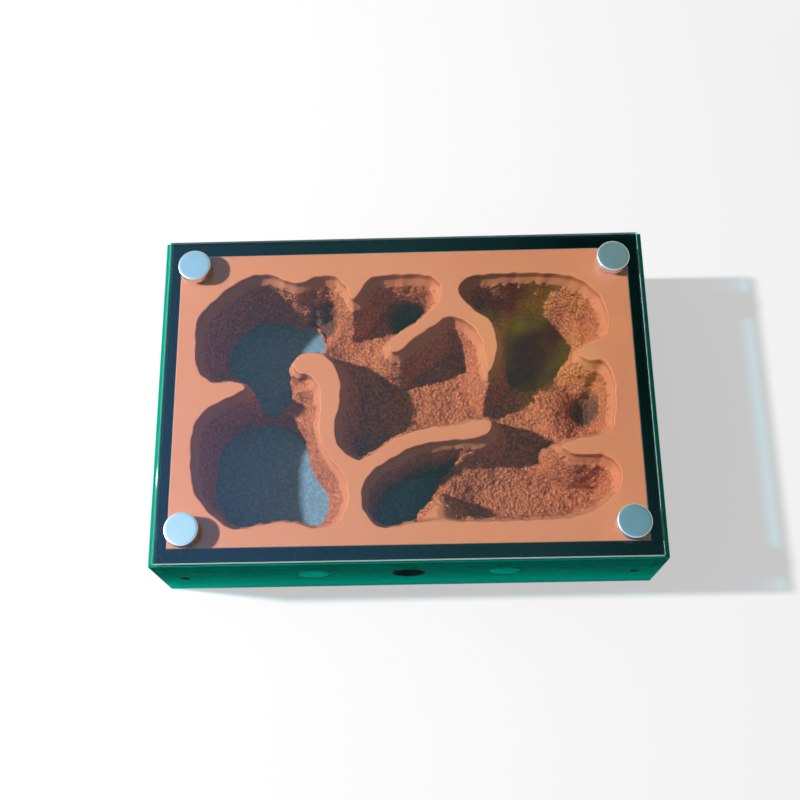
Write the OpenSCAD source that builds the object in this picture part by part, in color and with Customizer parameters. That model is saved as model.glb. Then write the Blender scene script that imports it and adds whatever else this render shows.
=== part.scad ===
// Ant habitat: a glued acrylic case around a moulded nest block, with a clear lid held down by magnets.
// Millimetres. X runs to the right, Y to the back, Z up. The origin is the middle of the case's underside.

/* [Case] */
// Outside width of the case, left to right
case_w = 150; // [146:1:165]
// Outside depth of the case, front to back
case_d = 104; // [102:1:115]
// Thickness of the coloured sheet that the base and the four walls are cut from
sheet_t = 5; // [3:0.5:6]
// Height of the walls, standing on the base
wall_h = 28; // [26:1:36]

/* [Lid] */
// How far the lid stops short of the case at the left and right sides
lid_side_gap = 1.5; // [0:0.5:3]
// How far the lid stops short of the case at the front and back
lid_end_gap = 0.5; // [0:0.5:2]
// Thickness of the clear lid
lid_t = 2; // [1.5:0.5:4]
// Radius of the lid's corners
lid_corner_r = 0.5; // [0.2:0.1:3]

/* [Magnets] */
// Diameter of the disc magnets on top of the lid
magnet_d = 10; // [6:0.5:11]
// Thickness of the disc magnets on top of the lid
magnet_t = 3; // [2:0.5:6]
// Radius of the rounded edge of every magnet
magnet_edge = 0.3; // [0.1:0.1:0.5]
// Distance from the nest block's sides to the middle of a magnet
magnet_inset = 5; // [5:0.5:6]
// Diameter of the magnets sunk into the nest block
hold_d = 8; // [5:0.5:9]
// Thickness of the magnets sunk into the nest block
hold_t = 3; // [2:0.5:5]
// Gap round each sunk magnet, filled by its glue on the real nest
hold_gap = 0.15; // [0.05:0.05:0.3]

/* [Tube ports] */
// Diameter of the three round tube ports in the front wall
port_d = 10; // [6:0.5:12]
// Distance between neighbouring ports
port_pitch = 28.5; // [24:0.5:31]
// Height of the port centres above the underside of the case
port_z = 18.5; // [16:0.5:21]
// How far the ports run on into the nest block
port_run = 9; // [8:0.5:14]
// Diameter taken off a plug so that it slides in its port
plug_gap = 0.2; // [0.1:0.05:0.4]
// How far a plug reaches in past the inner face of the wall
plug_reach = 2; // [1:0.5:4]
// Width of the chamfer round both ends of a plug
plug_chamfer = 0.5; // [0.2:0.1:1]

/* [Watering holes] */
// Diameter of the two watering holes low at the front corners
water_d = 3; // [2:0.5:3.5]
// Distance from the outside of the case's sides to a watering hole's centre
water_inset = 7.5; // [7.5:0.5:9]
// Height of the watering holes above the underside of the case
water_z = 16; // [12:0.5:20]
// How far the watering holes run on into the nest block
water_depth = 20; // [5:1:30]

/* [Floor panel] */
// Thickness of the pale panel that lies on the base, under the nest block
floor_t = 1; // [0.5:0.25:2]
// Clearance between the floor panel and the case walls, each side
floor_gap = 0.5; // [0.2:0.1:1]

/* [Nest block] */
// Clearance between the nest block and the case walls, each side
block_gap = 0.2; // [0.1:0.05:0.4]
// Depth of the smooth upright rim round the chambers
rim_depth = 3; // [2:0.5:5]
// Width and depth of the smooth slope below the rim
ledge_w = 1.6; // [0.8:0.2:2]
// Depth of the rough chamber ground below the top of the block
ground_depth = 16; // [14:0.5:18]
// How far the rough walls lean in between the slope and the ground
wall_lean = 3.5; // [2:0.5:4]
// How much deeper the rough bowls are than the ground round them
bowl_drop = 3; // [1:0.5:4]
// How far the sides of the wells lean in between the ground and the floor panel
well_lean = 2.5; // [1:0.5:4]

/* [Hidden] */
$fn = 48;
eps = 0.01;
case_h = sheet_t + wall_h;
floor_z = sheet_t + floor_t;
inner_w = case_w - 2 * sheet_t;
inner_d = case_d - 2 * sheet_t;
lid_w = case_w - 2 * lid_side_gap;
lid_d = case_d - 2 * lid_end_gap;
block_w = inner_w - 2 * block_gap;
block_d = inner_d - 2 * block_gap;
magnet_x = inner_w / 2 - magnet_inset;
magnet_y = inner_d / 2 - magnet_inset;
water_x = case_w / 2 - water_inset;
plug_len = sheet_t + plug_reach;
front_y = -case_d / 2;
block_front_y = -block_d / 2;
// The narrow step between one slope of the chambers and the next.
step_w = 0.25;
// The chamber plan is drawn for a block of this size and is fitted to the block that is asked for.
plan_w = 140;
plan_d = 94;

// The rim of the chambers, one bay or one standing wall at a time, clockwise from the left.
upper_left_bay = [[-61, 6], [-63.6, 10], [-64.2, 18], [-63.8, 26], [-58, 32.5], [-53, 37], [-47, 40], [-41, 40]];
small_bay = [[-36, 37.6], [-32, 37.2], [-27, 39.2], [-21.5, 39], [-18, 35.5], [-15.8, 31]];
middle_bay = [[-13, 34.5], [-10, 38.4], [0, 39.3], [8, 38.6], [11.4, 35.5], [11, 30.5], [7.5, 26]];
fork_wall = [[3, 22.2], [-2.5, 18.6], [-5, 14.8], [-2, 13.2], [3, 17.4], [9, 21.6], [14, 24.6], [19, 22.8],
    [23.4, 17.5], [24.4, 11], [25.4, 6], [27.4, 10], [28.3, 15], [27, 22], [22, 26.5], [18, 31]];
upper_right_bay = [[17.4, 35], [21, 38], [30, 38.8], [44, 38.6], [54, 36.6], [60.4, 31], [62.6, 24], [61.6, 17.6]];
upper_right_wall = [[56.5, 15], [53, 12], [56, 9.2], [60.8, 8.6]];
lower_right_bay = [[63, 3], [62.8, -6], [60.6, -13.4], [53, -15.4], [46.4, -17.4], [50, -20.6], [58, -20.8]];
front_right_bay = [[62.6, -24.5], [62.2, -31], [56, -36.8], [48, -39.6], [36, -40.2], [22, -40.4]];
front_bump = [[16, -39.8], [13, -35.4], [9.4, -32.8], [5.8, -35], [3, -39.6]];
front_bay = [[-2, -41.2], [-8, -41.4], [-12.2, -37], [-13.2, -31], [-10.4, -25]];
s_wall = [[-4, -20.6], [3, -17], [12, -15.6], [22, -14.8], [25.6, -11.6], [23.6, -9], [15, -10.8], [6, -11.6],
    [-2, -14.2], [-8, -18.2], [-14, -21], [-19.4, -17.6], [-21.4, -11], [-20, -4], [-19.6, 3], [-21.4, 9],
    [-25.6, 13], [-31, 13.2], [-34.2, 9.6], [-31, 6], [-26.4, 3], [-25.6, -4], [-26, -12], [-22.6, -20]];
lower_left_bay = [[-18.4, -26], [-17.2, -33], [-20.4, -39.6], [-27, -41.4], [-35, -39.4], [-44, -40.6], [-51, -41.2],
    [-58, -36], [-62.6, -29.4], [-64, -20], [-63.6, -10], [-59.6, -4], [-53, -0.4]];
left_wall_tip = [[-48.4, 2.4], [-52, 4.6], [-57, 4.2]];
chamber_rim = concat(upper_left_bay, small_bay, middle_bay, fork_wall, upper_right_bay, upper_right_wall,
    lower_right_bay, front_right_bay, front_bump, front_bay, s_wall, lower_left_bay, left_wall_tip);

// Ground of the chambers, each stretch as [from, to, radius].
bowls = [
    [[-27, 34], [-25, 28], 6],
    [[-8, 31], [5, 32], 7],
    [[-19, 22], [-14, 26], 6],
    [[5, 14], [17, 17], 7],
    [[-13, -1], [-13, -12], 7],
    [[-2, 2], [19, -1], 8],
    [[56.5, 3], [56.5, -6], 7],
    [[33, -3], [37, -15], 7],
    [[26, -31], [54, -29], 8.5]
];

// Where the chambers go right down to the floor panel, as outlines at its underside.
upper_left_well = [[-57.8, 19], [-57.6, 24], [-55, 29.4], [-51, 33], [-46, 34.6], [-40, 34.2], [-34, 32.8], [-29.6, 32.2],
    [-27.4, 28.5], [-27, 24], [-28.6, 20.4], [-32.6, 18.4], [-36.8, 16.4], [-38.4, 12.6], [-37.6, 8.4], [-38.4, 4.4],
    [-41.2, 1.8], [-44.6, 1.6], [-47.2, 4], [-49.4, 8.6], [-52.2, 13], [-55.6, 15.6]];
lower_left_well = [[-60.2, -12], [-60.6, -18], [-60.4, -25], [-57.6, -31], [-53.6, -35.4], [-48, -37], [-42, -36.2],
    [-35, -35.8], [-29.4, -36.2], [-26, -32], [-24.8, -26.4], [-27, -22.4], [-29.8, -18], [-31.6, -12], [-32.8, -8],
    [-35.6, -4.6], [-39, -2.2], [-44, -1], [-50, -1.6], [-55, -4], [-58.6, -7.6]];
upper_right_well = [[33.4, 11], [33, 18], [33.4, 26], [35, 33], [38.6, 35], [43.4, 34.4], [48.4, 31.6], [52, 27.6],
    [53, 23.4], [50.6, 18], [46.6, 13], [42.4, 8.8], [37, 7.4]];
front_well = [[-8.8, -34.2], [-9, -30], [-6, -25], [-1, -19.4], [4.4, -13.6], [9, -11.4], [12.6, -13], [12.6, -16.6],
    [9, -20.6], [6.6, -25.6], [5, -30], [2.4, -34.6], [-4, -36.6]];
wells = [upper_left_well, lower_left_well, upper_right_well, front_well];
// Where a rim has slumped: the outline, the point its slope falls from, and the slope's turn and fall in degrees.
slumps = [
    [[[-38, -5], [-38, 5], [-34, 6.4], [-30, 6.6], [-27, 4], [-26, -1], [-28, -5], [-32, -7]], [-25, 0], 180, 45],
    [[[2, -28], [2, -39], [6, -40.4], [17, -40.4], [20, -36], [20, -28]], [10, -38.5], 90, 38]
];

// A closed curve through hand-chosen points: each stretch between two points is split into steps.
function curve_point(a, b, c, d, t) =
    0.5 * (2 * b + (c - a) * t + (2 * a - 5 * b + 4 * c - d) * t * t + (3 * b - 3 * c + d - a) * t * t * t);
function closed_curve(p, steps) = [
    for (i = [0 : len(p) - 1], k = [0 : steps - 1])
        curve_point(p[(i + len(p) - 1) % len(p)], p[i], p[(i + 1) % len(p)], p[(i + 2) % len(p)], k / steps)
];

module fitted_to_case() {
    scale([inner_w / plan_w, inner_d / plan_d]) children();
}

module chamber_plan(inset = 0) {
    offset(delta = -inset) fitted_to_case() polygon(closed_curve(chamber_rim, 3));
}

// A hollow that widens evenly on its way up, from the flat shape given.
module widening(from_z, to_z, by) {
    translate([0, 0, from_z]) minkowski() {
        linear_extrude(eps) children();
        cylinder(h = to_z - from_z, r1 = 0, r2 = by, $fn = 12);
    }
}

// A round-ended bowl with sloping sides, sunk into the ground.
module bowl(b, ground_z) {
    hull() for (end = [b[0], b[1]])
        translate([end.x * inner_w / plan_w, end.y * inner_d / plan_d, ground_z - bowl_drop])
            cylinder(h = bowl_drop + eps, r1 = b[2] - bowl_drop, r2 = b[2] + bowl_drop, $fn = 24);
}

module along_wall(x, z, d, y0, len) {
    translate([x, y0, z]) rotate([-90, 0, 0]) cylinder(h = len, d = d);
}

module disc(d, h, edge) {
    rotate_extrude() polygon([[0, 0], [d / 2 - edge, 0], [d / 2, edge], [d / 2, h - edge], [d / 2 - edge, h], [0, h]]);
}

// What lies above a plane that falls away from a point on the block's top, inside the outline given.
module slump(s) {
    intersection() {
        translate([0, 0, floor_z]) linear_extrude(case_h) fitted_to_case() polygon(closed_curve(s[0], 2));
        translate([s[1].x * inner_w / plan_w, s[1].y * inner_d / plan_d, case_h]) rotate([0, s[3], s[2]])
            translate([-wall_h, -wall_h, 0]) cube(2 * wall_h);
    }
}

// The chambers: an upright rim, a smooth slope below it, rough walls that lean in to the ground, and the wells.
module chambers() {
    ground_z = case_h - ground_depth;
    slope_z = case_h - rim_depth;
    rough_z = slope_z - ledge_w;
    well_widening = well_lean * (rough_z - sheet_t) / (ground_z - sheet_t);
    translate([0, 0, slope_z]) linear_extrude(rim_depth + 1) chamber_plan();
    widening(rough_z, slope_z, ledge_w - step_w) chamber_plan(ledge_w);
    widening(ground_z, rough_z, wall_lean - step_w) chamber_plan(ledge_w + wall_lean);
    for (s = slumps) slump(s);
    intersection() {
        linear_extrude(ground_z + eps) chamber_plan(ledge_w + wall_lean);
        union() for (b = bowls) bowl(b, ground_z);
    }
    intersection() {
        linear_extrude(case_h) chamber_plan(ledge_w);
        union() for (w = wells)
            widening(sheet_t, rough_z, well_widening) fitted_to_case() polygon(closed_curve(w, 2));
    }
}

module nest_block() {
    color([0.80, 0.53, 0.41]) difference() {
        translate([-block_w / 2, -block_d / 2, floor_z]) cube([block_w, block_d, case_h - floor_z]);
        chambers();
        for (i = [-1 : 1]) along_wall(i * port_pitch, port_z, port_d, block_front_y - 1, port_run + 1);
        for (side = [-1, 1]) along_wall(side * water_x, water_z, water_d, block_front_y - 1, water_depth + 1);
        for (x = [-magnet_x, magnet_x], y = [-magnet_y, magnet_y])
            translate([x, y, case_h - hold_t]) cylinder(h = hold_t + 1, d = hold_d + 2 * hold_gap);
    }
}

module base_plate() {
    color([0.05, 0.55, 0.48]) translate([-case_w / 2, -case_d / 2, 0]) cube([case_w, case_d, sheet_t]);
}

module floor_panel() {
    color([0.58, 0.70, 0.78]) translate([0, 0, sheet_t + floor_t / 2])
        cube([inner_w - 2 * floor_gap, inner_d - 2 * floor_gap, floor_t], center = true);
}

// The front and back walls run the full width, and the side walls stand between them.
module front_wall() {
    color([0.02, 0.42, 0.36]) difference() {
        translate([-case_w / 2, front_y, sheet_t]) cube([case_w, sheet_t, wall_h]);
        for (i = [-1 : 1]) along_wall(i * port_pitch, port_z, port_d, front_y - 1, sheet_t + 2);
        for (side = [-1, 1]) along_wall(side * water_x, water_z, water_d, front_y - 1, sheet_t + 2);
    }
}

module back_wall() {
    color([0.04, 0.50, 0.44]) translate([-case_w / 2, case_d / 2 - sheet_t, sheet_t]) cube([case_w, sheet_t, wall_h]);
}

module side_wall(side) {
    color([0.06, 0.55, 0.50]) translate([side * (case_w - sheet_t) / 2, 0, sheet_t + wall_h / 2])
        cube([sheet_t, inner_d, wall_h], center = true);
}

module hold_magnet(x, y) {
    color([0.62, 0.64, 0.65]) translate([x, y, case_h - hold_t]) disc(hold_d, hold_t, magnet_edge);
}

module port_plug(x) {
    color([0.10, 0.60, 0.52]) translate([x, front_y, port_z]) rotate([-90, 0, 0])
        disc(port_d - plug_gap, plug_len, plug_chamfer);
}

module lid_plate() {
    color([0.75, 0.92, 0.93, 0.4]) translate([0, 0, case_h]) linear_extrude(lid_t) union() {
        square([lid_w - 2 * lid_corner_r, lid_d], center = true);
        square([lid_w, lid_d - 2 * lid_corner_r], center = true);
        for (x = [-1, 1], y = [-1, 1])
            translate([x * (lid_w / 2 - lid_corner_r), y * (lid_d / 2 - lid_corner_r)]) circle(lid_corner_r);
    }
}

module lid_magnet(x, y) {
    color([0.78, 0.80, 0.82]) translate([x, y, case_h + lid_t]) disc(magnet_d, magnet_t, magnet_edge);
}

base_plate();
front_wall();
back_wall();
side_wall(-1);  // left_wall
side_wall(1);  // right_wall
floor_panel();
nest_block();
hold_magnet(-magnet_x, -magnet_y);  // hold_magnet_front_left
hold_magnet(magnet_x, -magnet_y);  // hold_magnet_front_right
hold_magnet(-magnet_x, magnet_y);  // hold_magnet_back_left
hold_magnet(magnet_x, magnet_y);  // hold_magnet_back_right
port_plug(-port_pitch);  // port_plug_left
port_plug(port_pitch);  // port_plug_right
lid_plate();
lid_magnet(-magnet_x, -magnet_y);  // lid_magnet_front_left
lid_magnet(magnet_x, -magnet_y);  // lid_magnet_front_right
lid_magnet(-magnet_x, magnet_y);  // lid_magnet_back_left
lid_magnet(magnet_x, magnet_y);  // lid_magnet_back_right
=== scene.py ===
import math

import bpy
import numpy as np
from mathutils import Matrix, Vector


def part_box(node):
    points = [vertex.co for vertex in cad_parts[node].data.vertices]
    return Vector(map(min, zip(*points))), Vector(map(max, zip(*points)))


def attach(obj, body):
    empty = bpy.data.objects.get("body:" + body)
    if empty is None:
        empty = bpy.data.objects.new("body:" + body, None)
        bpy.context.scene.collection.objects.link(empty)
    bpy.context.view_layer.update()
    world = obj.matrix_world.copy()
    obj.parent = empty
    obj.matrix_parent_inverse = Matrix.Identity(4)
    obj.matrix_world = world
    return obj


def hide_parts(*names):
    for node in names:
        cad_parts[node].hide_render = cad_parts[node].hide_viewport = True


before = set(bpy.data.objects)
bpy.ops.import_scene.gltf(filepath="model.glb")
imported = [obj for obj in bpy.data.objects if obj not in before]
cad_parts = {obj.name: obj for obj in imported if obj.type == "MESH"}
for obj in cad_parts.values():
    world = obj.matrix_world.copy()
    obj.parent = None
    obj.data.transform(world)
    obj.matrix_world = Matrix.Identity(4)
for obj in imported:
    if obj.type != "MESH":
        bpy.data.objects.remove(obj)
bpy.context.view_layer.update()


# ---------------------------------------------------------------- camera
# The nest is seen from above its front edge, a little to the right of its middle, by a normal lens
# held about a third of a metre above the table.
camera_data = bpy.data.cameras.new("camera")
camera_data.lens = 52.8
camera_data.sensor_width = 36.0
camera = bpy.data.objects.new("camera", camera_data)
camera.location = (0.00523, -0.12256, 0.36536)
camera.rotation_euler = (0.3468, 0.0252, -0.0127)
bpy.context.scene.collection.objects.link(camera)
bpy.context.scene.camera = camera


# ---------------------------------------------------------------- table and light
# A plain white table, one small lamp 41 degrees up on the left, and an even fill from all round.
# Together they light a level surface at about 1, so that a colour renders about as it is written.
def linear(code, alpha=1.0):
    """An sRGB hex colour as linear numbers."""
    parts = [int(code[i:i + 2], 16) / 255.0 for i in (1, 3, 5)]
    return [p / 12.92 if p <= 0.04045 else ((p + 0.055) / 1.055) ** 2.4 for p in parts] + [alpha]


def add_node(tree, kind, inputs=None, **settings):
    """Adds a node, sets it up, and fills or links its sockets."""
    made = tree.nodes.new("ShaderNode" + kind)
    for name, value in settings.items():
        setattr(made, name, value)
    for socket, value in (inputs or {}).items():
        if isinstance(value, bpy.types.NodeSocket):
            tree.links.new(value, made.inputs[socket])
        else:
            made.inputs[socket].default_value = value
    return made


def new_material(name):
    """An empty material and its node tree."""
    material = bpy.data.materials.new(name)
    material.use_nodes = True
    material.node_tree.nodes.clear()
    return material, material.node_tree


bpy.context.scene.view_settings.view_transform = "Standard"
KEY_DIRECTION = Vector((-0.755, 0.045, 0.652)).normalized()
KEY_DISTANCE = 1.2
KEY_SIZE = 0.055
# What the lamp and the fill bring to a level surface.
KEY_LEVEL = 0.83
FILL_LEVEL = 0.16
# The mirrored sky: where it passes into haze and haze into trees, counted along SKY_WAY, how high above the
# horizon it begins, and where the sunlit leaves are and how far they reach.
SKY_STRENGTH = 1.45
SKY_WAY = (1.0, 0.5, 0.0)
SKY_TO_HAZE = (-0.08, 0.15)
HAZE_TO_TREES = (0.2, 0.36)
OVERHEAD = (0.45, 0.75)
SUNLIT_LEAVES = (0.105, 0.385, 0.917)
LEAVES_REACH = (0.075, 0.02)
TWIG_GAPS = (0.42, 0.68)
# The table, the share of it that is plain white, and the distances over which that share grows to the whole.
TABLE_SIZE = 4.0
TABLE_DROP = 0.0002
BACKDROP_SHARE = 0.5
TABLE_FADE = (0.2, 0.5)

key_data = bpy.data.lights.new("key_lamp", "AREA")
key_data.shape = "DISK"
key_data.size = KEY_SIZE
key_data.energy = KEY_LEVEL / KEY_DIRECTION.z * math.pi ** 2 * KEY_DISTANCE ** 2
key = bpy.data.objects.new("key_lamp", key_data)
key.location = KEY_DIRECTION * KEY_DISTANCE
key.rotation_euler = KEY_DIRECTION.to_track_quat("Z", "Y").to_euler()
bpy.context.scene.collection.objects.link(key)

# The room: white round the horizon and wherever the camera or the glass looks past the table. Overhead, where
# the lid and the magnets mirror it, a bright sky on the left passes into dim green trees on the right.
room = bpy.data.worlds.new("room")
bpy.context.scene.world = room
room.use_nodes = True
tree = room.node_tree
tree.nodes.clear()
direction = add_node(tree, "TexCoord").outputs["Generated"]
across = add_node(tree, "VectorMath", {0: direction, 1: SKY_WAY}, operation="DOT_PRODUCT")
left = add_node(tree, "MapRange", {"Value": across.outputs["Value"], "From Min": SKY_TO_HAZE[0],
    "From Max": SKY_TO_HAZE[1]})
right = add_node(tree, "MapRange", {"Value": across.outputs["Value"], "From Min": HAZE_TO_TREES[0],
    "From Max": HAZE_TO_TREES[1]})
sky = add_node(tree, "Mix", {0: left.outputs[0], 6: linear("#7DBDFB"), 7: linear("#52959B")}, data_type="RGBA")
trees = add_node(tree, "Mix", {0: right.outputs[0], 6: sky.outputs[2], 7: linear("#174A41")}, data_type="RGBA")
# Sunlit leaves show in one place among the trees.
apart = add_node(tree, "VectorMath", {0: direction, 1: SUNLIT_LEAVES}, operation="DISTANCE")
near = add_node(tree, "MapRange", {"Value": apart.outputs["Value"], "From Min": LEAVES_REACH[0],
    "From Max": LEAVES_REACH[1]})
twigs = add_node(tree, "TexNoise", {"Vector": direction, "Scale": 30.0, "Detail": 2.0})
gaps = add_node(tree, "MapRange", {"Value": twigs.outputs[0], "From Min": TWIG_GAPS[0], "From Max": TWIG_GAPS[1]})
lit = add_node(tree, "Math", {0: near.outputs[0], 1: gaps.outputs[0]}, operation="MULTIPLY")
leaves = add_node(tree, "Mix", {0: lit.outputs[0], 6: trees.outputs[2], 7: linear("#F7E676")}, data_type="RGBA")
height = add_node(tree, "SeparateXYZ", {0: direction}).outputs["Z"]
up = add_node(tree, "MapRange", {"Value": height, "From Min": OVERHEAD[0], "From Max": OVERHEAD[1]})
ceiling = add_node(tree, "Mix", {0: up.outputs[0], 6: linear("#D8D8D8"), 7: leaves.outputs[2]}, data_type="RGBA")
path = add_node(tree, "LightPath")
mirrored = add_node(tree, "Background", {"Color": ceiling.outputs[2], "Strength": SKY_STRENGTH})
white = add_node(tree, "Background", {"Color": linear("#FFFFFF"), "Strength": 1.0})
fill = add_node(tree, "Background", {"Color": linear("#FFFDFA"), "Strength": FILL_LEVEL})
seen = add_node(tree, "Math", {0: path.outputs["Is Camera Ray"], 1: path.outputs["Is Transmission Ray"]},
    operation="MAXIMUM")
plain = add_node(tree, "MixShader", {0: seen.outputs[0], 1: fill.outputs[0], 2: white.outputs[0]})
shown = add_node(tree, "MixShader", {0: path.outputs["Is Glossy Ray"], 1: plain.outputs[0], 2: mirrored.outputs[0]})
add_node(tree, "OutputWorld", {"Surface": shown.outputs[0]})

bpy.ops.object.select_all(action="DESELECT")
bpy.ops.mesh.primitive_plane_add(size=TABLE_SIZE, location=(0, 0, -TABLE_DROP))
table = bpy.context.object
table.name = "table"
painted, tree = new_material("white_table_paint")
# The table keeps the shadow, and shows partly as plain white to the camera, to mirrors and through glass.
paint = add_node(tree, "BsdfDiffuse", {"Color": linear("#FBFBFB")})
backdrop = add_node(tree, "Emission", {"Color": linear("#FFFFFF"), "Strength": 1.0})
path = add_node(tree, "LightPath")
seen = add_node(tree, "Math", {0: path.outputs["Is Camera Ray"], 1: path.outputs["Is Transmission Ray"]},
    operation="MAXIMUM")
mirrored = add_node(tree, "Math", {0: seen.outputs[0], 1: path.outputs["Is Glossy Ray"]}, operation="MAXIMUM")
# Beyond the reach of the object's shadow it fades to plain white.
spot = add_node(tree, "TexCoord").outputs["Object"]
reach = add_node(tree, "VectorMath", {0: spot}, operation="LENGTH")
plainer = add_node(tree, "MapRange", {"Value": reach.outputs["Value"], "From Min": TABLE_FADE[0],
    "From Max": TABLE_FADE[1], "To Min": BACKDROP_SHARE})
share = add_node(tree, "Math", {0: mirrored.outputs[0], 1: plainer.outputs[0]}, operation="MULTIPLY")
shown = add_node(tree, "MixShader", {0: share.outputs[0], 1: paint.outputs[0], 2: backdrop.outputs[0]})
add_node(tree, "OutputMaterial", {"Surface": shown.outputs[0]})
table.data.materials.append(painted)


# ---------------------------------------------------------------- case
# Five pieces of 5 mm teal acrylic sheet, cut with polished edges and glued with solvent: a base, a front and
# a back wall of the full width, and two side walls between them. The front wall is drilled for tubes and water.
EDGE_BREAK = 0.00025
# Glued pieces bite into each other by a hair and loose ones stand a hair apart, so no two faces coincide.
JOINT_BITE = 0.00005
LID_SEAT = 0.00003
FLAT_ANGLE = math.radians(20)
ACRYLIC_IOR = 1.49
POLISHED = 0.01
SMEAR_WIDTH = 0.011
WAVE_LENGTH = 0.02
SATIN_MIRROR = 0.004
# Painted glow on the outside, standing in for the light inside the sheet: how much a face that looks up and the foot
# of a wall gain, how it grows on the way down, the width over which it sets in beyond the lid, and half of how much
# further it reaches in on the lamp's side.
TOP_PAINTED_GLOW = 2.4
FOOT_PAINTED_GLOW = 3.5
PAINTED_GLOW_GROWTH = 2.2
PAINTED_GLOW_START = 0.0003
LAMP_SIDE = 0.0005
lid_low, lid_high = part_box("lid_plate")


def tinted_acrylic(name, tint, density, smear, painted_glow_and_satin_share):
    """Cast acrylic sheet: clear to light, coloured right through, with a hand-polished skin, and, given a share, a
    worn satin skin with painted glow beyond the lid's edge.
    """
    material, tree = new_material(name)
    place = add_node(tree, "TexCoord").outputs["Object"]
    # Wiping leaves faint smears about a centimetre wide.
    smears = add_node(tree, "TexNoise", {"Vector": place, "Scale": 1 / SMEAR_WIDTH, "Detail": 3.0})
    skin = add_node(tree, "MapRange", {"Value": smears.outputs[0], "To Min": POLISHED, "To Max": smear})
    # Sheet isn't optically flat: it waves by some hundredths of a millimetre over 20 mm.
    waves = add_node(tree, "TexNoise", {"Vector": place, "Scale": 1 / WAVE_LENGTH, "Detail": 1.0})
    flow = add_node(tree, "Bump", {"Height": waves.outputs[0], "Strength": 0.05, "Distance": 0.0005})
    body = add_node(tree, "BsdfPrincipled", {"Base Color": linear("#FFFFFF"), "Roughness": skin.outputs[0],
        "IOR": ACRYLIC_IOR, "Transmission Weight": 1.0, "Normal": flow.outputs[0]})
    met = body
    if painted_glow_and_satin_share:
        # Beyond the lid's edge the sheet is worn satin, and a diffuse teal paints in the glow of the light inside
        # it.
        axes = add_node(tree, "SeparateXYZ", {0: place})
        beyond = []
        # On the left, where the lamp stands, the painted glow reaches a millimetre in under the lid.
        for axis, shift, reach in (("X", LAMP_SIDE, lid_high.x - LAMP_SIDE), ("Y", 0.0, lid_high.y)):
            moved = add_node(tree, "Math", {0: axes.outputs[axis], 1: shift}, operation="SUBTRACT")
            far = add_node(tree, "Math", {0: moved.outputs[0]}, operation="ABSOLUTE")
            beyond.append(add_node(tree, "Math", {0: far.outputs[0], 1: reach}, operation="SUBTRACT"))
        past = add_node(tree, "Math", {0: beyond[0].outputs[0], 1: beyond[1].outputs[0]}, operation="MAXIMUM")
        satin_and_glow_reach = add_node(tree, "MapRange", {"Value": past.outputs[0], "From Max": PAINTED_GLOW_START, "To Max": painted_glow_and_satin_share})
        geometry = add_node(tree, "NewGeometry")
        facing = add_node(tree, "SeparateXYZ", {0: geometry.outputs["True Normal"]})
        level = add_node(tree, "MapRange", {"Value": facing.outputs["Z"], "To Min": 1.0, "To Max": TOP_PAINTED_GLOW})
        # The painted glow grows toward the foot, where the table throws light back into the sheet.
        depth = add_node(tree, "MapRange", {"Value": axes.outputs["Z"], "From Min": lid_low.z, "From Max": 0.0})
        gather = add_node(tree, "Math", {0: depth.outputs[0], 1: PAINTED_GLOW_GROWTH}, operation="POWER")
        bright = add_node(tree, "Math", {0: gather.outputs[0], 1: FOOT_PAINTED_GLOW, 2: level.outputs[0]},
            operation="MULTIPLY_ADD")
        satin_and_painted_glow = add_node(tree, "Math", {0: satin_and_glow_reach.outputs[0], 1: bright.outputs[0]}, operation="MULTIPLY",
            use_clamp=True)
        blur = add_node(tree, "Math", {0: satin_and_painted_glow.outputs[0], 1: skin.outputs[0]}, operation="MAXIMUM")
        bent = add_node(tree, "BsdfRefraction", {"Color": linear("#FFFFFF"), "Roughness": blur.outputs[0],
            "IOR": ACRYLIC_IOR, "Normal": flow.outputs[0]})
        mirror = add_node(tree, "BsdfGlossy", {"Color": linear("#FFFFFF"), "Roughness": blur.outputs[0],
            "Normal": flow.outputs[0]})
        clear = add_node(tree, "MixShader", {0: SATIN_MIRROR, 1: bent.outputs[0], 2: mirror.outputs[0]})
        painted_glow = add_node(tree, "BsdfDiffuse", {"Color": linear("#00C9A6")})
        outside = add_node(tree, "MixShader", {0: satin_and_painted_glow.outputs[0], 1: clear.outputs[0], 2: painted_glow.outputs[0]})
        met = add_node(tree, "MixShader",
            {0: geometry.outputs["Backfacing"], 1: outside.outputs[0], 2: body.outputs[0]})
    # Lamps and daylight pass straight through the sheet instead of being focused by it.
    passing = add_node(tree, "BsdfTransparent", {"Color": linear("#FAFAFA")})
    path = add_node(tree, "LightPath")
    soft = add_node(tree, "Math", {0: path.outputs["Is Shadow Ray"], 1: path.outputs["Is Diffuse Ray"]},
        operation="MAXIMUM")
    both = add_node(tree, "MixShader", {0: soft.outputs[0], 1: met.outputs[0], 2: passing.outputs[0]})
    dye = add_node(tree, "VolumeAbsorption", {"Color": tint, "Density": density})
    add_node(tree, "OutputMaterial", {"Surface": both.outputs[0], "Volume": dye.outputs[0]})
    return material


# The dye takes out three quarters of the red in the first millimetre, and green before blue: 5 mm passes no red,
# 33% green and 43% blue, and the long way down through the top of a wall passes next to nothing.
teal_acrylic = tinted_acrylic("teal_cast_acrylic", (0.05, 0.84, 0.88, 1.0), 1400.0, 0.05, 0.22)


def apply_modifier(piece, name, kind, **settings):
    """Adds a modifier, sets it up, and applies it."""
    bpy.context.view_layer.objects.active = piece
    modifier = piece.modifiers.new(name, kind)
    for setting, value in settings.items():
        setattr(modifier, setting, value)
    bpy.ops.object.modifier_apply(modifier=modifier.name)


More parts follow.
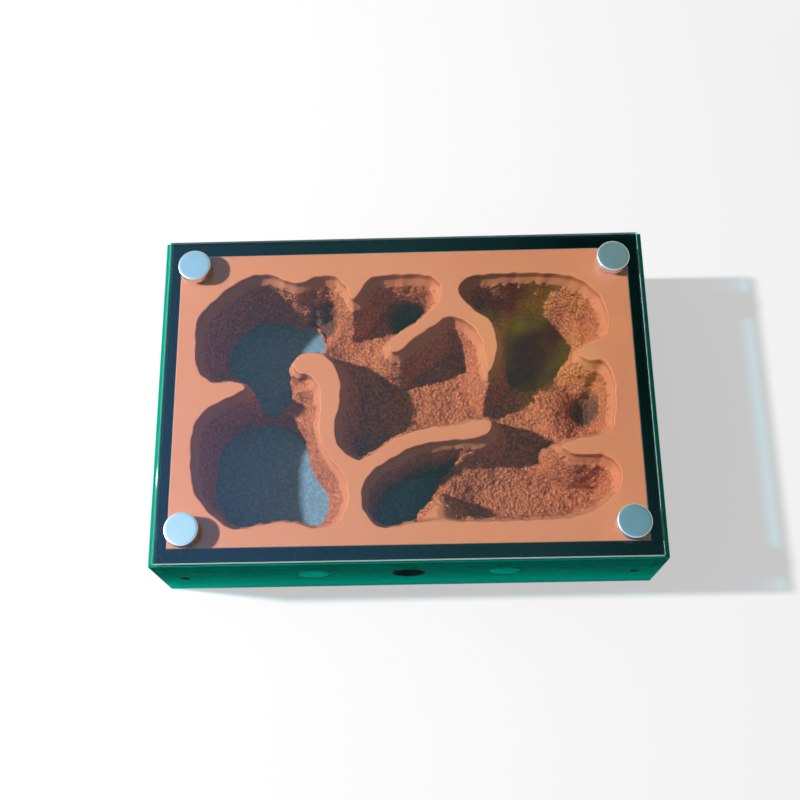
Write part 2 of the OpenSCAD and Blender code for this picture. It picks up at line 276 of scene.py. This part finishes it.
def sheet_piece(name, node, low, high, material):
    """One sawn piece of sheet between two corners, with its edges broken."""
    bpy.ops.object.select_all(action="DESELECT")
    bpy.ops.mesh.primitive_cube_add(size=1.0, location=(low + high) / 2)
    piece = bpy.context.object
    piece.name = name
    piece.scale = high - low
    bpy.ops.object.transform_apply(location=True, rotation=False, scale=True)
    apply_modifier(piece, "broken_edges", "BEVEL", width=EDGE_BREAK, segments=2)
    bpy.ops.object.shade_smooth_by_angle(angle=FLAT_ANGLE)
    piece.data.materials.append(material)
    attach(piece, "case")
    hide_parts(node)
    return piece


low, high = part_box("base_plate")
sheet_piece("base_sheet", "base_plate", low, high, teal_acrylic)
for name, across_case in (("back_wall", True), ("left_wall", False), ("right_wall", False)):
    low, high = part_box(name)
    low.z -= JOINT_BITE
    high.z -= LID_SEAT
    if not across_case:
        low.y -= JOINT_BITE
        high.y += JOINT_BITE
    sheet_piece(name.replace("wall", "sheet"), name, low, high, teal_acrylic)

low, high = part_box("front_wall")
low.z -= JOINT_BITE
high.z -= LID_SEAT
front_sheet = sheet_piece("front_sheet", "front_wall", low, high, teal_acrylic)
# The three tube ports and the two watering holes, drilled through the front.
plug_low, plug_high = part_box("port_plug_right")
PORT_RADIUS = 0.005
PORT_PITCH = (plug_low.x + plug_high.x) / 2
PORT_HEIGHT = (plug_low.z + plug_high.z) / 2
WATER_RADIUS = 0.0015
WATER_X = 0.0675
WATER_Z = 0.016
PORT_SIDES = 64
WATER_SIDES = 32
HOLE_SLACK = 0.0001
holes = [(x, PORT_HEIGHT, PORT_RADIUS, PORT_SIDES) for x in (-PORT_PITCH, 0.0, PORT_PITCH)]
holes += [(x, WATER_Z, WATER_RADIUS, WATER_SIDES) for x in (-WATER_X, WATER_X)]
for x, z, radius, sides in holes:
    bpy.ops.object.select_all(action="DESELECT")
    bpy.ops.mesh.primitive_cylinder_add(vertices=sides, radius=radius, depth=3 * (high.y - low.y),
        location=(x, (low.y + high.y) / 2, z), rotation=(math.pi / 2, 0, 0))
    drill = bpy.context.object
    apply_modifier(front_sheet, "drilled", "BOOLEAN", object=drill, solver="EXACT")
    bpy.data.objects.remove(drill)
bpy.ops.object.select_all(action="DESELECT")
front_sheet.select_set(True)
bpy.ops.object.shade_smooth_by_angle(angle=FLAT_ANGLE)
# The drill leaves the holes matt and scored in rings. Their near-black colour is painted shade, for how dark the
# holes look from above.
# Real rings are about 0.4 mm apart. These are drawn 2.5 mm apart, so that they show: a wave's period is pi / 10 over
# its scale.
RING_SCALE = 125.0
drilled, tree = new_material("drilled_acrylic_painted_shade")
place = add_node(tree, "TexCoord").outputs["Object"]
rings = add_node(tree, "TexWave", {"Vector": place, "Scale": RING_SCALE, "Distortion": 1.0}, bands_direction="Y")
swarf = add_node(tree, "TexNoise", {"Vector": place, "Scale": 1 / 0.001, "Detail": 2.0})
tone = add_node(tree, "Mix", {0: swarf.outputs[0], 6: linear("#06221F"), 7: linear("#0E423C")}, data_type="RGBA")
score = add_node(tree, "Bump", {"Height": rings.outputs[1], "Strength": 0.4, "Distance": 0.0001})
skin = add_node(tree, "BsdfPrincipled", {"Base Color": tone.outputs[2], "Roughness": 0.55, "IOR": ACRYLIC_IOR,
    "Normal": score.outputs[0]})
add_node(tree, "OutputMaterial", {"Surface": skin.outputs[0]})
front_sheet.data.materials.append(drilled)
for face in front_sheet.data.polygons:
    for x, z, radius, sides in holes:
        from_axis = math.hypot(face.center.x - x, face.center.z - z)
        if abs(face.normal.y) < 0.5 and from_axis < radius + HOLE_SLACK:
            face.material_index = 1


# ---------------------------------------------------------------- floor panel
# A thin pale blue-grey panel lies on the base and shows where the chambers run right down. It is matt, with
# a fine speckle, like primed card or foamed sheet.
SPECKLE_SIZE = 0.0008
DRIFT_SIZE = 0.012
DUST_MIDDLE = (0.044, 0.0235, 0.003)
DUST_EDGE = (0.021, 0.018)
low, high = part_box("floor_panel")
low.z += LID_SEAT
high.z -= LID_SEAT
pale, tree = new_material("matt_pale_panel")
place = add_node(tree, "TexCoord").outputs["Object"]
# Speckle of 0.8 mm and a slow drift in tone over 12 mm.
speckle = add_node(tree, "TexNoise", {"Vector": place, "Scale": 1 / SPECKLE_SIZE, "Detail": 2.0})
drift = add_node(tree, "TexNoise", {"Vector": place, "Scale": 1 / DRIFT_SIZE, "Detail": 2.0})
tone = add_node(tree, "Mix", {0: drift.outputs[0], 6: linear("#668CA6"), 7: linear("#769BB2")}, data_type="RGBA")
flecks = add_node(tree, "MapRange", {"Value": speckle.outputs[0], "From Min": 0.45, "From Max": 0.7, "To Max": 0.5})
flecked = add_node(tree, "Mix", {0: flecks.outputs[0], 6: tone.outputs[2], 7: linear("#A9C2D2")}, data_type="RGBA")
# Under the chamber at the back on the right, dust from the digging covers the panel.
from_dust = add_node(tree, "VectorMath", {0: place, 1: DUST_MIDDLE}, operation="DISTANCE")
strewn = add_node(tree, "MapRange", {"Value": from_dust.outputs["Value"], "From Min": DUST_EDGE[0],
    "From Max": DUST_EDGE[1]})
dust = add_node(tree, "Mix", {0: speckle.outputs[0], 6: linear("#66402C"), 7: linear("#92604A")}, data_type="RGBA")
dusted = add_node(tree, "Mix", {0: strewn.outputs[0], 6: flecked.outputs[2], 7: dust.outputs[2]}, data_type="RGBA")
grain = add_node(tree, "Bump", {"Height": speckle.outputs[0], "Strength": 0.3, "Distance": 0.0001})
skin = add_node(tree, "BsdfPrincipled", {"Base Color": dusted.outputs[2], "Roughness": 0.8, "IOR": 1.45,
    "Normal": grain.outputs[0]})
add_node(tree, "OutputMaterial", {"Surface": skin.outputs[0]})
panel = sheet_piece("pale_floor", "floor_panel", low, high, pale)


# ---------------------------------------------------------------- nest block
# One block cast from a terracotta-coloured mineral mix. The top and the rims of the chambers came out of the
# mould smooth. Below the rims the maker raked the ground and the walls by hand, so they are grains and pits.
WELD = 2e-6
VOXEL = 0.00046
MOST_TRIANGLES = 190000
# The widths of the lumps, grains and sand of the raked ground, and how hard lumps, crumbs and grains push it.
LUMP = 0.0045
GRAIN = 0.0013
SAND = 0.00095
LUMP_HEIGHT = 0.0016
CRUMB_HEIGHT = 0.0010
GRAIN_HEIGHT = 0.0006
# The ground is rough from this height down, with a border that strays by up to twice RAGGED. The outside of the
# block stays as cast, and so do the runs behind the drilled holes.
ROUGH_TOP = 0.0283
RAGGED = 0.0006
OUTER_SKIN = 0.0012
UNDERSIDE = 0.0002
RUN_END = 0.0088
RUN_WALL = 0.0006
# The plan wanders by this much, and less within EDGE_ZONE of the outside.
WANDER = 0.00012
EDGE_ZONE = 0.004
# Bowls that were dug deeper: x, y, radius and depth, and the heights between which they lie.
DUG = ((0.001, 0.0325, 0.0075, 0.0065), (-0.027, 0.032, 0.006, 0.005), (0.0565, -0.001, 0.0055, 0.0035))
BOWLS_BETWEEN = (0.009, 0.022)
# The cone at the front: its foot on the plan, how steeply it falls to the back and to the sides, half the width
# of its tip, the length over which it opens, its own length and half width, and how low it may cut.
CONE_FOOT = Vector((0.0098, -0.0402))
CONE_FALL = 0.75
CONE_SIDE_FALL = 0.9
CONE_TIP = 0.001
CONE_OPENS = 0.002
CONE_LENGTH = 0.009
CONE_HALF_WIDTH = 0.0075
CONE_LOWEST = 0.02
# The pit value is PIT_START on level ground and grows by 1 for each PIT_DEPTH below the neighbours.
PIT_DEPTH = 0.00022
PIT_START = 0.35
TOP_GAP = 0.0001
# Rims are what stands this far above the rough ground and isn't level with an axis.
RIM_START = 0.0004
RIM_LEVEL = 0.999
# Flat faces: how level they are, how many steps in from their border they start, and the share they can spare.
FLAT_LEVEL = 0.9999
STEPS_IN = 3
FLAT_SPARE = 0.96
# The slope under the rims: where its darker tone begins and where it is darkest, below the top.
SLOPE_START = 0.0002
SLOPE_FULL = 0.0009
block_low, block_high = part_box("nest_block")
block = bpy.data.objects.new("cast_block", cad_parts["nest_block"].data.copy())
bpy.context.scene.collection.objects.link(block)
bpy.ops.object.select_all(action="DESELECT")
block.select_set(True)
bpy.context.view_layer.objects.active = block
bpy.ops.object.mode_set(mode="EDIT")
bpy.ops.mesh.select_all(action="SELECT")
bpy.ops.mesh.remove_doubles(threshold=WELD)
bpy.ops.object.mode_set(mode="OBJECT")
block.data.remesh_voxel_size = VOXEL
bpy.ops.object.voxel_remesh()


def vertex_places(mesh):
    """The places of a mesh's points, one row each."""
    places = np.empty(len(mesh.vertices) * 3, np.float32)
    mesh.vertices.foreach_get("co", places)
    return places.reshape(-1, 3)


def vertex_normals(mesh):
    """The normals at a mesh's points, one row each."""
    normals = np.empty(len(mesh.vertices) * 3, np.float32)
    mesh.vertex_normals.foreach_get("vector", normals)
    return normals.reshape(-1, 3)


# The rims were trimmed by hand, so the plan wanders by up to a fifth of a millimetre over 4 to 7 mm.
places = vertex_places(block.data)
x, y, z = places.T.copy()
from_side = np.minimum(np.minimum(x - block_low.x, block_high.x - x), np.minimum(y - block_low.y, block_high.y - y))
inside = (from_side / EDGE_ZONE - 0.5).clip(0, 1) * ((z - block_low.z) / EDGE_ZONE - 0.5).clip(0, 1)
places[:, 0] += inside * WANDER * (np.sin(y * 900 + 1.3 * np.sin(x * 700)) + 0.6 * np.sin(y * 1500 + x * 400))
places[:, 1] += inside * WANDER * (np.sin(x * 1000 + 1.7 * np.sin(y * 600)) + 0.6 * np.sin(x * 1700 - y * 500))
# The deeper bowls are dug out, and their ground is painted dark as shade.
dug = np.zeros(len(x))
for bowl_x, bowl_y, radius, depth in DUG:
    away = np.hypot(x - bowl_x, y - bowl_y) / radius
    share = np.clip(1 - away ** 2, 0, 1) * (z < BOWLS_BETWEEN[1]) * (z > BOWLS_BETWEEN[0])
    dug = np.maximum(dug, share)
    places[:, 2] -= depth * share
# The bump in the front wall slopes to the chamber as a cone.
into = np.maximum(0, y - CONE_FOOT.y)
aside = np.abs(x - CONE_FOOT.x)
beside = np.maximum(0, aside - CONE_TIP) * np.clip(into / CONE_OPENS, 0, 1)
cone = block_high.z - CONE_FALL * into - CONE_SIDE_FALL * beside
over = (into > 0) & (into < CONE_LENGTH) & (aside < CONE_HALF_WIDTH) & (z > cone) & (cone > CONE_LOWEST)
places[over, 2] = cone[over]
block.data.vertices.foreach_set("co", places.ravel())
block.data.update()

# Where the block is rough: below the rims, inside the chambers, and not in the drilled runs or on the outside.
places = vertex_places(block.data)
x, y, z = places.T
ragged = RAGGED * (np.sin(x * 2300 + 2 * np.sin(y * 1700)) + np.sin(y * 2900 + 2 * np.sin(x * 1300)))
rough = np.clip((ROUGH_TOP + ragged - z) / RAGGED, 0, 1)
outside = ((x < block_low.x + OUTER_SKIN) | (x > block_high.x - OUTER_SKIN) | (y < block_low.y + OUTER_SKIN)
    | (y > block_high.y - OUTER_SKIN) | (z < block_low.z + UNDERSIDE))
in_run = np.zeros(len(x), bool)
for hole_x, hole_z, radius, sides in holes:
    in_run |= (np.hypot(x - hole_x, z - hole_z) < radius + RUN_WALL) & (y < block_low.y + RUN_END)
rough[outside | in_run] = 0
ground = block.vertex_groups.new(name="raked_ground")
levels = np.round(rough * 10).astype(int)
for level in range(1, 11):
    ground.add(np.flatnonzero(levels == level).tolist(), level / 10, "REPLACE")

# Casting leaves the rims softly rounded.
rims = block.vertex_groups.new(name="rims")
at_rim = (z > ROUGH_TOP + RIM_START) & ~outside & (np.abs(vertex_normals(block.data)).max(1) < RIM_LEVEL)
rims.add(np.flatnonzero(at_rim).tolist(), 1.0, "REPLACE")
apply_modifier(block, "soft_rims", "SMOOTH", factor=0.5, iterations=5, vertex_group="rims")

# The raked ground is worn smooth first. Lumps, crumbs and grains then stand out of it.
apply_modifier(block, "satin_and_glow_reach", "SMOOTH", factor=0.5, iterations=14, vertex_group="raked_ground")
lumps = bpy.data.textures.new("lumps", "CLOUDS")
lumps.noise_scale = LUMP
lumps.noise_depth = 2
grains = bpy.data.textures.new("grains", "VORONOI")
grains.noise_scale = GRAIN
grains.weight_1 = 1.0
crumbs = bpy.data.textures.new("crumbs", "CLOUDS")
crumbs.noise_scale = GRAIN
crumbs.noise_depth = 2
for name, texture, strength in (("lumpy", lumps, LUMP_HEIGHT), ("crumbly", crumbs, CRUMB_HEIGHT),
        ("grainy", grains, -GRAIN_HEIGHT)):
    apply_modifier(block, name, "DISPLACE", texture=texture, texture_coords="LOCAL", strength=strength,
        mid_level=0.5, vertex_group="raked_ground")

# The cast top stops just under the lid, the block stands just on the panel, and no point rises or sinks out of the
# block's box.
places = vertex_places(block.data)
places[:, 2] = np.clip(places[:, 2], block_low.z + LID_SEAT, block_high.z - TOP_GAP)
block.data.vertices.foreach_set("co", places.ravel())
block.data.update()

# Hollows between the grains get painted shade: a pit is where a point lies below the mean of its neighbours.
edges = np.empty(len(block.data.edges) * 2, np.int32)
block.data.edges.foreach_get("vertices", edges)
edges = edges.reshape(-1, 2)
total = np.zeros_like(places)
count = np.zeros(len(places))
for a, b in ((0, 1), (1, 0)):
    np.add.at(total, edges[:, a], places[edges[:, b]])
    np.add.at(count, edges[:, a], 1)
below = ((total / np.maximum(count, 1)[:, None] - places) * vertex_normals(block.data)).sum(1)
pits = np.clip(below / PIT_DEPTH + PIT_START, 0, 1) * rough
for name, values in (("pits", pits), ("ground", rough), ("dug", dug)):
    attribute = block.data.attributes.new(name, "FLOAT", "POINT")
    attribute.data.foreach_set("value", values.astype(np.float32))

# The flat faces outside, below and on top need few faces: they are the points whose neighbours all lie level
# with them, three steps out.
faced = np.abs(vertex_normals(block.data)).max(1) > FLAT_LEVEL
for step in range(STEPS_IN):
    reached = faced.copy()
    for a, b in ((0, 1), (1, 0)):
        np.logical_and.at(reached, edges[:, a], faced[edges[:, b]])
    faced = reached
plain = block.vertex_groups.new(name="plain_faces")
plain.add(np.flatnonzero(faced).tolist(), 1.0, "REPLACE")
apply_modifier(block, "fewer_faces", "DECIMATE", vertex_group="plain_faces",
    ratio=1 - FLAT_SPARE * faced.sum() / len(faced))
# The raked ground can spare half of its faces too, and so the piece stays under 200,000 triangles.
triangles = sum(len(face.vertices) - 2 for face in block.data.polygons)
apply_modifier(block, "fewer_grains", "DECIMATE", vertex_group="raked_ground",
    ratio=min(1.0, MOST_TRIANGLES / triangles))
bpy.ops.object.shade_smooth_by_angle(angle=math.radians(60))

block.data.materials.clear()
cast, tree = new_material("cast_terracotta_mineral")
place = add_node(tree, "TexCoord").outputs["Object"]
pit = add_node(tree, "Attribute", attribute_name="pits").outputs["Fac"]
rake = add_node(tree, "Attribute", attribute_name="ground").outputs["Fac"]
deep_bowl_share = add_node(tree, "Attribute", attribute_name="dug").outputs["Fac"]
# Cast faces: soft clouds of tone over 25 mm, and a fine mineral speckle of 0.4 mm.
clouds = add_node(tree, "TexNoise", {"Vector": place, "Scale": 1 / 0.025, "Detail": 3.0})
speckle = add_node(tree, "TexNoise", {"Vector": place, "Scale": 1 / 0.0004, "Detail": 2.0})
cast_tone = add_node(tree, "Mix", {0: clouds.outputs[0], 6: linear("#E08A5E"), 7: linear("#E89468")},
    data_type="RGBA")
fleck = add_node(tree, "MapRange", {"Value": speckle.outputs[0], "From Min": 0.35, "From Max": 0.7, "To Max": 0.25})
cast_face = add_node(tree, "Mix", {0: fleck.outputs[0], 6: cast_tone.outputs[2], 7: linear("#D07C54")},
    data_type="RGBA")
# The slope under the rims is a tone darker than the top.
axes = add_node(tree, "SeparateXYZ", {0: place})
under = add_node(tree, "MapRange", {"Value": axes.outputs["Z"], "From Min": block_high.z - SLOPE_START,
    "From Max": block_high.z - SLOPE_FULL, "To Max": 0.85})
darker_under_rims = add_node(tree, "Mix", {0: under.outputs[0], 6: cast_face.outputs[2], 7: linear("#BC7049")}, data_type="RGBA")
# Raked ground: painted shade darkens the mix in the gaps between grains and in the pits, and each grain differs.
stir = add_node(tree, "TexNoise", {"Vector": place, "Scale": 1 / 0.002, "Detail": 2.0})
stirred = add_node(tree, "VectorMath", {0: stir.outputs["Color"], 1: (0.0006, 0.0006, 0.0006), 2: place},
    operation="MULTIPLY_ADD")
each = add_node(tree, "TexVoronoi", {"Vector": stirred.outputs[0], "Scale": 1 / SAND})
painted_gap_shade = add_node(tree, "MapRange", {"Value": each.outputs["Distance"], "From Min": 0.45, "From Max": 0.75,
    "To Max": 0.8})
grain_tone = add_node(tree, "Mix", {0: each.outputs["Color"], 6: linear("#DC7848"), 7: linear("#EC905F")},
    data_type="RGBA")
grains_and_painted_gaps = add_node(tree, "Mix", {0: painted_gap_shade.outputs[0], 6: grain_tone.outputs[2], 7: linear("#9B4F2C")},
    data_type="RGBA")
# Pits take painted shade, darker the deeper they lie.
grains_and_painted_pits = add_node(tree, "Mix", {0: pit, 6: grains_and_painted_gaps.outputs[2], 7: linear("#A85C37")}, data_type="RGBA")
# The dug bowls are painted dark, as the shade in them.
painted_bowl_shade = add_node(tree, "MapRange", {"Value": deep_bowl_share, "From Max": 0.7, "To Max": 0.85})
ground_and_painted_bowls = add_node(tree, "Mix", {0: painted_bowl_shade.outputs[0], 6: grains_and_painted_pits.outputs[2], 7: linear("#5A3526")}, data_type="RGBA")
colour = add_node(tree, "Mix", {0: rake, 6: darker_under_rims.outputs[2], 7: ground_and_painted_bowls.outputs[2]}, data_type="RGBA")
# Relief: sand on the raked ground, and almost nothing on the cast faces.
fine = add_node(tree, "TexNoise", {"Vector": place, "Scale": 1 / 0.0009, "Detail": 4.0, "Roughness": 0.65})
sand = add_node(tree, "Math", {0: fine.outputs[0], 1: each.outputs["Distance"]}, operation="SUBTRACT")
deep = add_node(tree, "MapRange", {"Value": rake, "To Min": 0.02, "To Max": 1.0})
relief = add_node(tree, "Bump", {"Height": sand.outputs[0], "Strength": deep.outputs[0], "Distance": 0.0007})
dull = add_node(tree, "MapRange", {"Value": rake, "To Min": 0.72, "To Max": 0.95})
skin = add_node(tree, "BsdfPrincipled", {"Base Color": colour.outputs[2], "Roughness": dull.outputs[0],
    "IOR": 1.5, "Normal": relief.outputs[0]})
add_node(tree, "OutputMaterial", {"Surface": skin.outputs[0]})
block.data.materials.append(cast)
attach(block, "case")
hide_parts("nest_block")


# ---------------------------------------------------------------- magnets
# Sintered neodymium discs under bright nickel plate: four on the lid, and four smaller ones sunk in the block
# below them. The plate is smooth, with hairline scratches from sliding on other magnets.
ROLLED_EDGE = 0.0003
FACE_RINGS = (0.0006, 0.0012)
nickel, tree = new_material("bright_nickel_plate")
place = add_node(tree, "TexCoord").outputs["Object"]
# Hairlines 0.1 mm apart, drawn out 40 times along one way.
stretched = add_node(tree, "Mapping", {"Vector": place, "Scale": (1.0, 0.025, 1.0), "Rotation": (0, 0, 0.6)})
hairlines = add_node(tree, "TexNoise", {"Vector": stretched.outputs[0], "Scale": 1 / 0.0001, "Detail": 2.0})
bloom = add_node(tree, "TexNoise", {"Vector": place, "Scale": 1 / 0.003, "Detail": 3.0})
polish = add_node(tree, "MapRange", {"Value": bloom.outputs[0], "To Min": 0.28, "To Max": 0.38})
scratches = add_node(tree, "Bump", {"Height": hairlines.outputs[0], "Strength": 0.12, "Distance": 0.00003})
tone = add_node(tree, "Mix", {0: bloom.outputs[0], 6: linear("#EFEEEA"), 7: linear("#E2E1DD")}, data_type="RGBA")
plate = add_node(tree, "BsdfPrincipled", {"Base Color": tone.outputs[2], "Metallic": 1.0,
    "Roughness": polish.outputs[0], "Normal": scratches.outputs[0]})
add_node(tree, "OutputMaterial", {"Surface": plate.outputs[0]})

low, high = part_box("lid_magnet_front_left")
bpy.ops.object.select_all(action="DESELECT")
bpy.ops.mesh.primitive_cylinder_add(vertices=96, radius=(high.x - low.x) / 2, depth=high.z - low.z - LID_SEAT)
first_disc = bpy.context.object
apply_modifier(first_disc, "rolled_edge", "BEVEL", width=ROLLED_EDGE, segments=4, limit_method="ANGLE")
# Two rings inside each flat face keep its shading flat.
bpy.ops.object.mode_set(mode="EDIT")
bpy.ops.mesh.select_all(action="DESELECT")
bpy.ops.object.mode_set(mode="OBJECT")
for face in first_disc.data.polygons:
    face.select = abs(face.normal.z) > 0.999
bpy.ops.object.mode_set(mode="EDIT")
bpy.ops.mesh.select_mode(type="FACE")
for ring in FACE_RINGS:
    bpy.ops.mesh.inset(thickness=ring)
bpy.ops.object.mode_set(mode="OBJECT")
bpy.ops.object.shade_smooth_by_angle(angle=math.radians(30))
first_disc.data.materials.append(nickel)
for where in ("front_left", "front_right", "back_left", "back_right"):
    low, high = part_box("lid_magnet_" + where)
    disc = bpy.data.objects.new("magnet_disc_" + where, first_disc.data.copy())
    bpy.context.scene.collection.objects.link(disc)
    middle = (low + high) / 2
    middle.z += LID_SEAT / 2
    for vertex in disc.data.vertices:
        vertex.co += middle
    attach(disc, "magnet_" + where)
    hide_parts("lid_magnet_" + where)
    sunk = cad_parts["hold_magnet_" + where]
    sunk.data.materials.clear()
    sunk.data.materials.append(nickel)
bpy.data.objects.remove(first_disc)


# ---------------------------------------------------------------- port plugs
# Two turned acrylic discs close the outer ports. They are a paler teal than the wall, and carry more of the painted
# glow, which stands in for the light that comes through their polished ends.
CHAMFER = 0.0005
plug_acrylic = tinted_acrylic("pale_teal_plug_acrylic", (0.5, 0.93, 0.92, 1.0), 420.0, 0.08, 0.4)
for where in ("left", "right"):
    low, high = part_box("port_plug_" + where)
    bpy.ops.object.select_all(action="DESELECT")
    bpy.ops.mesh.primitive_cylinder_add(vertices=PORT_SIDES, radius=(high.x - low.x) / 2, depth=high.y - low.y,
        location=(low + high) / 2, rotation=(math.pi / 2, 0, 0))
    plug = bpy.context.object
    plug.name = "turned_plug_" + where
    bpy.ops.object.transform_apply(location=True, rotation=True, scale=True)
    apply_modifier(plug, "chamfer", "BEVEL", width=CHAMFER, segments=2, limit_method="ANGLE")
    bpy.ops.object.shade_smooth_by_angle(angle=FLAT_ANGLE)
    plug.data.materials.append(plug_acrylic)
    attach(plug, "plug_" + where)
    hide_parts("port_plug_" + where)


# ---------------------------------------------------------------- lid
# A loose sheet of clear 2 mm acrylic with laser-cut edges and just-rounded corners, a little smaller than
# the case. It has a faint cool tint, which shows only along its edges.
lid_acrylic = tinted_acrylic("clear_cast_acrylic", (0.2, 0.8, 0.78, 1.0), 12.0, 0.03, 0.0)
low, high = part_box("lid_plate")
lid = sheet_piece("lid_sheet", "lid_plate", low, high, lid_acrylic)
# The laser leaves the cut edges frosted; their pale colour is partly the frosting and partly painted light, the line
# that the sheet gathers there.
frosted, tree = new_material("laser_cut_acrylic_edge")
place = add_node(tree, "TexCoord").outputs["Object"]
striae = add_node(tree, "TexNoise", {"Vector": place, "Scale": 1 / 0.0004, "Detail": 2.0})
tone = add_node(tree, "Mix", {0: striae.outputs[0], 6: linear("#B4DCD8"), 7: linear("#D8F2EE")}, data_type="RGBA")
cut = add_node(tree, "Bump", {"Height": striae.outputs[0], "Strength": 0.3, "Distance": 0.00003})
skin = add_node(tree, "BsdfPrincipled", {"Base Color": tone.outputs[2], "Roughness": 0.4, "IOR": ACRYLIC_IOR,
    "Normal": cut.outputs[0]})
add_node(tree, "OutputMaterial", {"Surface": skin.outputs[0]})
lid.data.materials.append(frosted)
for face in lid.data.polygons:
    if abs(face.normal.z) < 0.5:
        face.material_index = 1
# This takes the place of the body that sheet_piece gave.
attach(lid, "lid")
